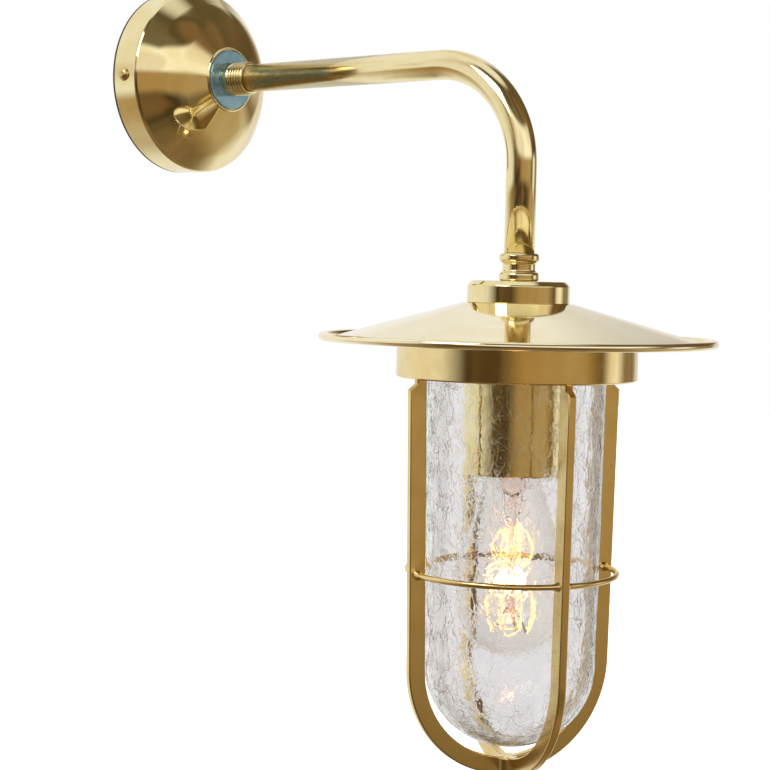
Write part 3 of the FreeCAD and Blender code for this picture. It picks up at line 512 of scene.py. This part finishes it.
# %% Turn the seal and the ribbed coupling
seal_gauge = 1.5
seal_r = 17.3
coupling_x = rose_height + seal_gauge
coupling_end = span("rose_coupling", X)[1] / MM
coupling_r = span("rose_coupling", Y)[1] / MM
collar = 5.2
socket_r = 8.1
ribs = 4
turned("seal_washer", [
    (bolt_r, rose_height + 0.02, 0), (seal_r, rose_height + 0.02, 0.4), (seal_r, coupling_x, 0.7),
    (bolt_r, coupling_x, 0)],
    "bracket", "rose_seal_washer", finishes["blue_grey_seal"], TO_ARM)
groove_r = coupling_r - 1.5
rib_pitch = (coupling_end - coupling_x - collar - 2.2) / ribs
rib_r = coupling_r - 0.1
rib_round = 0.66
ribbed = [(bolt_r, coupling_x, 0), (coupling_r - 0.9, coupling_x, 0.1),
          (coupling_r - 0.5, coupling_x + 0.9, 0.2), (coupling_r, coupling_x + 1.2, 1.4),
          (coupling_r, coupling_x + collar, 1.9), (groove_r, coupling_x + collar, 0.1)]
for rib in range(ribs):
    start = coupling_x + collar + rib * rib_pitch
    crest = start + 0.34 * rib_pitch
    ribbed += [(groove_r, crest, 0.05), (rib_r, crest, rib_round),
               (rib_r, start + rib_pitch, rib_round), (groove_r, start + rib_pitch, 0.05)]
ribbed += [(groove_r, coupling_end - 1.7, 0.1), (coupling_r - 0.3, coupling_end - 1.7, 0.8),
           (coupling_r - 0.3, coupling_end, 0.8), (socket_r, coupling_end, 0),
           (socket_r, coupling_end - 4, 0), (bolt_r, coupling_end - 4, 0)]
turned("ribbed_coupling", ribbed, "bracket", "rose_coupling", polished_rose, TO_ARM)

# %% Run the arm's section along its way
tube_r = 8.0 * MM
tube_wall = 1.2 * MM
bend_r = 55.0 * MM
arm_start = span("arm_tube", X)[0]
arm_end = span("arm_tube", Z)[0]


def run_tube(bm, radius, sides):
    """A circle run straight along X, round the bend, and down."""
    facing_x = Matrix.Translation((arm_start, 0, 0)) @ TO_ARM
    ring = bmesh.ops.create_circle(bm, cap_ends=False, segments=sides, radius=radius, matrix=facing_x)
    edges = list({edge for vert in ring["verts"] for edge in vert.link_edges})
    edges = pull(bm, edges, lambda place: Vector((lantern_x - bend_r - arm_start, 0, 0)))
    verts = list({vert for edge in edges for vert in edge.verts})
    swung = bmesh.ops.spin(bm, geom=verts + edges, cent=(lantern_x - bend_r, 0, -bend_r), axis=(0, 1, 0),
                           dvec=(0, 0, 0), angle=math.pi / 2, steps=48, use_merge=False,
                           use_normal_flip=False, use_duplicate=False)["geom_last"]
    edges = [item for item in swung if isinstance(item, bmesh.types.BMEdge)]
    pull(bm, edges, lambda place: Vector((0, 0, arm_end + bend_r)))


bm = bmesh.new()
run_tube(bm, tube_r, 96)
bmesh.ops.recalc_face_normals(bm, faces=bm.faces[:])
arm = piece("arm", bm, "bracket", "arm_tube", polished_arm)
wall = arm.modifiers.new("tube wall", "SOLIDIFY")
wall.thickness = tube_wall
wall.offset = -1

# %% Turn the lower coupling
spool_r = span("lower_coupling", Y)[1] / MM
spool_high = spool_top / MM
spool_low = spool_bottom / MM
bead = 4.4
waist_r = 8.6
mouth_r = 8.05
turned("lower_spool", [
    (mouth_r, spool_high, 0), (spool_r - 0.9, spool_high, 0.35), (spool_r, spool_high - 1.2, 0.6),
    (spool_r, spool_high - bead + 0.3, 1.9), (waist_r, spool_high - bead - 0.7, 1.3),
    (waist_r, spool_low + bead + 0.5, 1.3), (spool_r, spool_low + bead - 0.1, 1.9), (spool_r, spool_low, 1.2),
    (bolt_r, spool_low, 0), (bolt_r, spool_high - 4, 0), (mouth_r, spool_high - 4, 0)],
    "bracket", "lower_coupling", polished)

# %% [markdown]
# ## Cap and visor
# The cap is a small spun cup with a broad rounded edge. The visor is a shallow cone whose edge is rolled up
# round a wire, which keeps it stiff, so in section it ends in a full round bead that stands a little proud
# of the cone.

# %% Turn the cap and the visor
cap_r = span("top_cap", Y)[1] / MM
cap_high = cap_top / MM
cap_low = cap_bottom / MM
turned("cap", [
    (bolt_r, cap_high, 0), (cap_r - 2.4, cap_high, 1.4), (cap_r, cap_high - 2.4, 1.4),
    (cap_r, cap_low + 0.02, 0.4), (cap_r - 2, cap_low + 0.02, 0), (cap_r - 2, cap_high - 2, 1),
    (bolt_r, cap_high - 2, 0)],
    "bracket", "top_cap", polished, steps=200)
bead_r = 2.1
bead_at = span("visor", Y)[1] / MM - bead_r
visor_flat_r = 29.0
visor_slope = 0.281
visor_wall = 1.2
bead_z = cap_low - visor_slope * (bead_at - visor_flat_r) + bead_r - visor_wall / 2


def on_cone(radius, below=0.0):
    """Height of the visor's upper side at a radius."""
    return cap_low - visor_slope * (radius - visor_flat_r) - below


bead_inner = bead_at - bead_r
bead_outer = bead_at + bead_r
turned("visor_shell", [
    (bolt_r, cap_low, 0), (visor_flat_r, cap_low, 3.0), (bead_inner, on_cone(bead_inner), 0.25),
    (bead_inner, bead_z + bead_r, bead_r * 0.97), (bead_outer, bead_z + bead_r, bead_r * 0.98),
    (bead_outer, bead_z - bead_r, bead_r * 0.97),
    (bead_inner - 1.0, on_cone(bead_inner - 1.0, visor_wall), 1.0),
    (visor_flat_r, on_cone(visor_flat_r, visor_wall), 3.0), (bolt_r, cap_low - visor_wall, 0)],
    "bracket", "visor", visor_brass_painted_sheen, steps=256)

# %% [markdown]
# ## Gallery and lampholder cover
# The gallery is a heavy turned band under the visor. A fine bevel runs round its lower edge and catches the
# light. The lampholder's cover is a plain polished can with a small rolled edge at its mouth.

# %% Turn the gallery and the cover
gallery_r = span("gallery", Y)[1] / MM
gallery_low = gallery_bottom / MM
plate_under = gallery_under / MM
plate_top = plate_under + 4.0
hub_r = 20
hub_top = gallery_hub_top / MM
skirt_wall = 3.5
turned("gallery_band", [
    (bolt_r, hub_top, 0), (hub_r, hub_top, 0.5), (hub_r, plate_top, 2), (gallery_r, plate_top, 1.0),
    (gallery_r, gallery_low + 0.7, 0.35), (gallery_r - 0.9, gallery_low, 0.35),
    (gallery_r - skirt_wall, gallery_low, 0.5), (gallery_r - skirt_wall, plate_under, 0.4),
    (bolt_r, plate_under, 0)],
    "bracket", "gallery", turned_brass, steps=220)
can_r = span("lampholder_cover", Y)[1] / MM
can_low = can_bottom / MM
turned("cover_can", [
    (bolt_r, plate_under, 0), (can_r, plate_under, 1.0), (can_r, can_low, 0.8), (can_r - 1.6, can_low, 0.4),
    (can_r - 1.6, can_low + 1.2, 0.3), (can_r - 1.0, can_low + 2.0, 0), (can_r - 1.0, plate_under - 1, 0),
    (bolt_r, plate_under - 1, 0)],
    "bracket", "lampholder_cover", polished, steps=180)

# %% [markdown]
# ## Glass dome
# The dome is blown in a mould: thick at the flange, a little narrower at the bottom and never quite true.
# The outline is turned with extra rings along its side, and then a slow noise leans each vertex in or out
# by a fraction of a millimetre, as hot glass settles.

# %% Turn the dome and let it settle
flange_r = span("glass_dome", Y)[1] / MM
dome_top = flange_top / MM
dome_low = glass_bottom / MM
dome_r = 47.6
dome_low_r = 44.8
dome_wall = 3.0
flange_under = dome_top - 4.5
bowl_r = dome_low_r - dome_wall
bm = bmesh.new()
wire(bm, [
    (dome_r - dome_wall, dome_top, 0.8), (flange_r, dome_top, 0.8), (flange_r, flange_under, 0.8),
    (dome_r, flange_under, 0.8), (dome_low_r, dome_low, dome_low_r - 1.0), (0, dome_low, 0),
    (0, dome_low + dome_wall, 0), (bowl_r, dome_low + dome_wall, bowl_r - 1.0)])
long_edges = [edge for edge in bm.edges if edge.calc_length() > 20 * MM]
bmesh.ops.subdivide_edges(bm, edges=long_edges, cuts=70)
turn(bm, 200)
for vert in bm.verts:
    if vert.co.z < (dome_top - 7) * MM:
        outward = Vector((vert.co.x, vert.co.y, 0))
        if outward.length > 1e-5:
            lean = noise.noise(vert.co / (16 * MM)) * 0.22 + noise.noise(vert.co / (5 * MM)) * 0.10
            vert.co += outward.normalized() * lean * MM
piece("crackle_dome", bm, "glass", "glass_dome", crackle, TO_LANTERN)

# %% [markdown]
# ## Guard
# The guard is one casting: a threaded collar, four flat bars that run down and meet under the glass, a hoop
# round them and a small boss at the bottom. A bar is its rectangular section, run down with a slight taper
# and then swung a quarter turn. `spin` with duplicates sets the other three bars round the axis. The hoop
# swells where it meets a bar, as the fillets in the mould leave it.

# %% Cast the guard
guard_top_r = 61.6
bar_depth = 9.2
bar_width = 4.6
bar_taper = 2.6
taper_steps = 8
shoulder_in = 3.9
shoulder_low = (gallery_low - 2.7) * MM
chamfer_low = (gallery_low - 2.7 - 3.3) * MM
collar_high = collar_top / MM
collar_low = (collar_high - 18.0) * MM
bar_azimuth = math.radians(-27.0)
bottom_r = (guard_top_r - bar_taper) * MM
boss_drop = 1.0 * MM
swing_z = guard_bottom + boss_drop + bottom_r


def one_bar(bm):
    """One bar from the collar down to the middle of the bottom, on the X side."""
    inner = guard_top_r - bar_depth
    half = bar_width / 2
    section_corners = [(inner, -half, 0.7), (guard_top_r, -half, 0.9), (guard_top_r, half, 0.9),
                       (inner, half, 0.7)]
    wire(bm, section_corners, plane=(X, Y))
    bmesh.ops.translate(bm, vec=(0, 0, chamfer_low), verts=bm.verts[:])
    section = bm.edges[:]
    middle = (guard_top_r - bar_depth / 2) * MM
    chamfer = shoulder_low - chamfer_low
    into_collar = collar_low + 1.5 * MM - shoulder_low
    top = pull(bm, section, lambda co: Vector((-shoulder_in * MM if co.x > middle else 0, 0, chamfer)))
    top = pull(bm, top, lambda co: Vector((0, 0, into_collar)))
    run = section
    step = Vector((-bar_taper * MM / taper_steps, 0, (swing_z - chamfer_low) / taper_steps))
    for _ in range(taper_steps):
        run = pull(bm, run, lambda co: step)
    verts = list({vert for edge in run for vert in edge.verts})
    swung = bmesh.ops.spin(bm, geom=verts + run, cent=(0, 0, swing_z), axis=(0, 1, 0), dvec=(0, 0, 0),
                           angle=math.pi / 2, steps=36, use_merge=False, use_normal_flip=False,
                           use_duplicate=False)["geom_last"]
    last = [item for item in swung if isinstance(item, bmesh.types.BMEdge)]
    bmesh.ops.contextual_create(bm, geom=top)
    bmesh.ops.contextual_create(bm, geom=last)
    bmesh.ops.recalc_face_normals(bm, faces=bm.faces[:])


def join(bm, part):
    """Add another bmesh's faces to bm."""
    carrier = bpy.data.meshes.new("carrier")
    part.to_mesh(carrier)
    part.free()
    bm.from_mesh(carrier)
    bpy.data.meshes.remove(carrier)


bm = bmesh.new()
one_bar(bm)
bmesh.ops.rotate(bm, cent=(0, 0, 0), matrix=Matrix.Rotation(bar_azimuth, 3, "Z"), verts=bm.verts[:])
bmesh.ops.spin(bm, geom=bm.verts[:] + bm.edges[:] + bm.faces[:], cent=(0, 0, 0), axis=(0, 0, 1),
               dvec=(0, 0, 0), angle=1.5 * math.pi, steps=3, use_merge=False, use_normal_flip=False,
               use_duplicate=True)
collar_part = bmesh.new()
collar_r = 59.3
collar_bore_r = 52.2
ledge_r = 48.6
wire(collar_part, [
    (collar_bore_r, collar_high, 0), (collar_r, collar_high, 0.8), (collar_r, collar_low / MM, 0.8),
    (ledge_r, collar_low / MM, 0.8), (ledge_r, flange_under, 0.4), (collar_bore_r, flange_under, 0)])
turn(collar_part)
join(bm, collar_part)
hoop_r = 55.2
hoop_z = collar_high - 121.4
hoop_part = bmesh.new()
thick = 1.5
hoop_round = thick * 0.98
wire(hoop_part, [(hoop_r - thick, hoop_z - thick, hoop_round), (hoop_r + thick, hoop_z - thick, hoop_round),
                 (hoop_r + thick, hoop_z + thick, hoop_round), (hoop_r - thick, hoop_z + thick, hoop_round)])
turn(hoop_part, 360)
quarter = math.pi / 2
for vert in hoop_part.verts:
    azimuth = math.atan2(vert.co.y, vert.co.x)
    off = abs((azimuth - bar_azimuth + quarter / 2) % quarter - quarter / 2) * hoop_r - bar_width / 2
    swell = 1 + 0.9 * math.exp(-max(off, 0) / 1.1)
    core = Vector((math.cos(azimuth) * hoop_r, math.sin(azimuth) * hoop_r, hoop_z)) * MM
    vert.co = core + (vert.co - core) * swell
join(bm, hoop_part)
boss_part = bmesh.new()
boss_r = 6.5
boss_low = guard_bottom / MM
boss_top = boss_low + 1.0 + bar_depth
wire(boss_part, [(0, boss_top, 0), (boss_r, boss_top, 1.0), (boss_r, boss_low, 1.2), (0, boss_low, 0)])
turn(boss_part, 64)
join(bm, boss_part)
piece("guard_casting", bm, "guard", "guard", cast, TO_LANTERN, sharp=50)

# %% [markdown]
# ## Bulb
# The envelope is thin blown glass: a straight neck, a long shoulder and a round bottom. Inside, a glass
# flare is pinched shut round two lead wires and drawn into a rod that carries the filament's hooks.

# %% Blow the envelope and the stem
tip = bulb_tip / MM
neck = bulb_neck / MM
neck_r = 11.8
bulb_r = 30.0
shoulder = neck - 12
belly = neck - 68
thin = 0.8
envelope = [(neck_r, neck, 0), (neck_r, shoulder, 14), (bulb_r, belly, 60), (bulb_r, tip, 29.8), (0, tip, 0)]
inner_side = [(0, tip + thin, 0), (bulb_r - thin, tip + thin, 29.0), (bulb_r - thin, belly, 60),
              (neck_r - thin, shoulder, 14), (neck_r - thin, neck, 0)]
turned("bulb_envelope", envelope + inner_side, "bulb", "bulb_glass", bulb_clear, steps=128)
rod_low = span("bulb_stem", Z)[0] / MM
rod_r = 2.2
flare_r = 10.6
flare_low = can_low - 12.5
turned("bulb_stem_glass", [
    (0, neck - 1, 0), (flare_r, neck - 1, 0), (flare_r, neck - 3, 1.0), (6.2, neck - 9, 4.0),
    (6.4, flare_low + 4.5, 3.0), (rod_r, flare_low, 2.0), (rod_r, rod_low, 1.6), (0, rod_low, 0)],
    "bulb", "bulb_stem", stem_glass_painted_glow, steps=48)

# %% [markdown]
# ## Filament
# The squirrel-cage filament is one hair of carbon hung up and down round the rod: out over the shoulder, in
# to a waist, and out again before each turn at the bottom. A curve through a few points per leg has that
# slack, and a small seeded wander keeps two legs from matching.

# %% Hang the filament and its wires
top_z = span("filament", Z)[1] / MM
low_z = span("filament", Z)[0] / MM
height = top_z - low_z


def thread(name, points, radius, node, material):
    """A smooth round wire through points in millimetres, made a mesh."""
    curve = bpy.data.curves.new(name, "CURVE")
    curve.dimensions = "3D"
    for path in points:
        spline = curve.splines.new("NURBS")
        spline.points.add(len(path) - 1)
        for spot, place in zip(spline.points, path):
            spot.co = (*place, 1)
        spline.order_u = 4 if len(path) > 3 else 2
        spline.use_endpoint_u = True
        spline.resolution_u = 6
    curve.bevel_depth = radius * MM
    curve.bevel_resolution = 3
    curve.use_fill_caps = True
    holder = bpy.data.objects.new(name, curve)
    bpy.context.scene.collection.objects.link(holder)
    bpy.context.view_layer.update()
    mesh = bpy.data.meshes.new_from_object(holder.evaluated_get(bpy.context.evaluated_depsgraph_get()))
    bpy.data.objects.remove(holder)
    bm = bmesh.new()
    bm.from_mesh(mesh)
    bpy.data.meshes.remove(mesh)
    return piece(name, bm, "bulb", node, material)


def about_axis(radius, azimuth, z):
    """A point at a radius, an azimuth and a height about the lantern's axis, given in millimetres."""
    return Vector((lantern_x + radius * MM * math.cos(azimuth), radius * MM * math.sin(azimuth), z * MM))


legs = 8
hair_r = 0.36
wire_r = 0.22
# How far down the cage, as a share of its height, and how far out from the axis in millimetres.
shape = [(0.00, 3.4), (0.05, 8.0), (0.16, 12.4), (0.28, 11.6), (0.40, 3.6), (0.52, 5.6), (0.62, 11.8),
         (0.74, 13.2), (0.90, 11.8), (0.98, 9.6)]
hair = []
for leg in range(legs):
    azimuth = 2 * math.pi * (leg + 0.25) / legs
    down = []
    for index, (fall, radius) in enumerate(shape):
        wander = noise.noise(Vector((leg * 3.1, index * 1.7, 0.5)))
        down.append(about_axis(radius * (1 + 0.18 * wander), azimuth + 0.4 * wander, top_z - fall * height))
    if leg % 2:
        down.reverse()
        turn_at = about_axis(3.0, azimuth + math.pi / legs, top_z + 0.3)
    else:
        turn_at = about_axis(9.4, azimuth + math.pi / legs, low_z - 0.4)
    hair += down + [turn_at]
thread("filament_hair", [hair[:-1]], hair_r, "filament", hot)
hooks = []
for leg in range(legs):
    azimuth = 2 * math.pi * (leg + 0.25) / legs
    hooks.append([about_axis(1.5, azimuth, rod_low + 3), about_axis(5.0, azimuth, rod_low - 2.5),
                  about_axis(9.0, azimuth, low_z + 0.6)])
for side in (0, math.pi):
    hooks.append([about_axis(4.6, side + 0.6, can_low - 4), about_axis(5.2, side + 0.6, flare_low + 2),
                  about_axis(3.6, side + 0.6, flare_low - 6), about_axis(3.0, side + 0.6, top_z + 1)])
thread("bulb_wires", hooks, wire_r, "filament_supports", finishes["support_wire"])

# %% [markdown]
# ## Studio
# Polished brass shows the room. A plain white room would leave it flat, so the room is white behind and
# above, with a dark stretch on the camera's side, as in any studio where the camera stands in the unlit
# part. The world shader draws that room by direction, at four heights, with some soft clutter. What the
# camera sees directly, and what it sees through the glass, stays plain and pale.

# %% Camera
CAMERA_AT = Vector((0.8239, -0.7934, -0.1135))
LOOKS_AT = Vector((0.1671, 0.0, -0.1748))
CAMERA_ROLL = math.radians(1.20)
camera_data = bpy.data.cameras.new("camera")
camera_data.lens = 92.7
camera_data.sensor_width = 38.5
camera_data.clip_start = 0.01
camera = bpy.data.objects.new("camera", camera_data)
bpy.context.scene.collection.objects.link(camera)
look = (LOOKS_AT - CAMERA_AT).to_track_quat("-Z", "Y").to_matrix().to_4x4()
camera.matrix_world = Matrix.Translation(CAMERA_AT) @ look @ Matrix.Rotation(CAMERA_ROLL, 4, "Z")
bpy.context.scene.camera = camera
bpy.context.scene.view_settings.view_transform = "Standard"

# %% The room
world = bpy.data.worlds.new("studio")
bpy.context.scene.world = world
room = Finish(world)
toward_camera = (CAMERA_AT - LOOKS_AT).normalized()
camera_azimuth = math.atan2(toward_camera.y, toward_camera.x)
ray = room.add("ShaderNodeTexCoord", output="Generated")
turned_ray = room.add("ShaderNodeVectorRotate", {"rotation_type": "Z_AXIS"},
                      {"Vector": ray, "Angle": -camera_azimuth})
ahead, aside, rising = room.split(turned_ray)
around = room.add("ShaderNodeMath", {"operation": "ARCTAN2"}, {0: aside, 1: ahead}) / (2 * math.pi) + 0.5
white = rgb(0.92, 0.91, 0.88)
brown = rgb(0.070, 0.046, 0.020)
amber = rgb(0.42, 0.29, 0.13)


def painted_wall(stops):
    """One height of the room, painted round from behind the lantern by the left, the camera and the right."""
    return room.add("ShaderNodeValToRGB", {"stops": stops}, {0: around})


eye_level = painted_wall([
    (0.00, white), (0.28, white), (0.35, brown), (0.44, brown), (0.51, amber), (0.68, amber),
    (0.735, rgb(0.13, 0.09, 0.04)), (0.765, rgb(1.05, 1.04, 1.00)), (0.79, rgb(1.05, 1.04, 1.00)),
    (0.83, rgb(0.22, 0.16, 0.08)), (0.885, rgb(0.26, 0.19, 0.10)), (0.92, white)])
upper_level = painted_wall([
    (0.00, white), (0.32, white), (0.37, rgb(0.30, 0.23, 0.13)), (0.43, rgb(1.1, 1.1, 1.08)),
    (0.70, rgb(1.1, 1.1, 1.08)), (0.75, brown), (0.93, rgb(0.12, 0.085, 0.045)), (0.98, white)])
lower_level = painted_wall([
    (0.00, white), (0.12, white), (0.25, amber), (0.36, brown), (0.62, brown), (0.72, amber),
    (0.84, rgb(0.50, 0.40, 0.24)), (0.90, white)])
upward = room.between(rising, 0.10, 0.20)
high_level = painted_wall([
    (0.00, white), (0.29, white), (0.35, rgb(0.16, 0.12, 0.06)), (0.45, rgb(0.11, 0.08, 0.04)),
    (0.90, rgb(0.13, 0.095, 0.05)), (0.955, white)])
above_lamps = room.between(rising, 0.50, 0.60)
overhead = room.between(rising, 0.90, 0.97)
downward = room.between(rising, -0.30, -0.12, 1.0, 0.0)
underneath = room.between(rising, -0.90, -0.55, 1.0, 0.0)
painted = room.mix(upward, eye_level, upper_level)
painted = room.mix(above_lamps, painted, high_level)
painted = room.mix(overhead, painted, white)
painted = room.mix(downward, painted, lower_level)
painted = room.mix(underneath, painted, rgb(0.20, 0.14, 0.07))
clutter = room.add("ShaderNodeTexNoise", None, {
    "Vector": turned_ray, "Scale": 1.8, "Detail": 1.0, "Roughness": 0.4, "Distortion": 0.3})
painted = room.mix(room.between(clutter, 0.48, 0.68) * 0.30, painted, rgb(0.46, 0.26, 0.12))
painted = room.mix(room.between(clutter, 0.30, 0.46, 1.0, 0.0) * 0.12, painted, rgb(0.74, 0.68, 0.54))
seen = room.add("ShaderNodeLightPath", output="Is Camera Ray")
through_glass = room.add("ShaderNodeLightPath", output="Is Transmission Ray")
mirrored = room.add("ShaderNodeLightPath", output="Glossy Depth")
final = room.mix(through_glass * (1 - mirrored.smaller(1)), painted, rgb(0.84, 0.815, 0.825))
final = room.mix(seen, final, rgb(1.0, 1.0, 1.0))
backdrop = room.add("ShaderNodeBackground", None, {"Color": final, "Strength": 1.0})
room.surface(backdrop, "ShaderNodeOutputWorld")
print("room painted round azimuth", round(math.degrees(camera_azimuth), 1))

# %% Floor and lights
FLOOR_Z = -0.66
bm = bmesh.new()
bmesh.ops.create_grid(bm, x_segments=1, y_segments=1, size=6.0, matrix=Matrix.Translation((0.2, 0, FLOOR_Z)))
floor_mesh = bpy.data.meshes.new("floor")
bm.to_mesh(floor_mesh)
bm.free()
pale = new_finish("pale_floor")
pale_grain = pale.noise(40, pale.place(), detail=2.0)
floor_mesh.materials.append(pale.surface(pale.principled({
    "Base Color": pale.mix(pale_grain, rgb(0.92, 0.92, 0.92), rgb(0.94, 0.94, 0.94)), "Roughness": 0.7,
    "Emission Color": rgb(1, 1, 1), "Emission Strength": 1.1})))
floor = bpy.data.objects.new("floor", floor_mesh)
bpy.context.scene.collection.objects.link(floor)
floor.visible_glossy = False
floor.visible_transmission = False


def softbox(name, place, aim, size, power, shade):
    """A square area light at a place, facing aim."""
    light = bpy.data.lights.new(name, "AREA")
    light.shape = "SQUARE"
    light.size = size
    light.energy = power
    light.color = shade
    holder = bpy.data.objects.new(name, light)
    bpy.context.scene.collection.objects.link(holder)
    face = (Vector(aim) - Vector(place)).to_track_quat("-Z", "Y").to_matrix().to_4x4()
    holder.matrix_world = Matrix.Translation(place) @ face


softbox("key_softbox", (0.1, -1.2, 0.9), (0.2, 0, -0.2), 0.7, 7.0, (1.0, 0.99, 0.97))
glow = bpy.data.lights.new("filament_glow", "POINT")
glow.energy = 0.05
glow.color = (1.0, 0.42, 0.16)
glow.shadow_soft_size = 0.008
glow_holder = bpy.data.objects.new("filament_glow", glow)
bpy.context.scene.collection.objects.link(glow_holder)
glow_holder.location = (lantern_x, 0, (top_z + low_z) / 2 * MM)
print("studio ready")
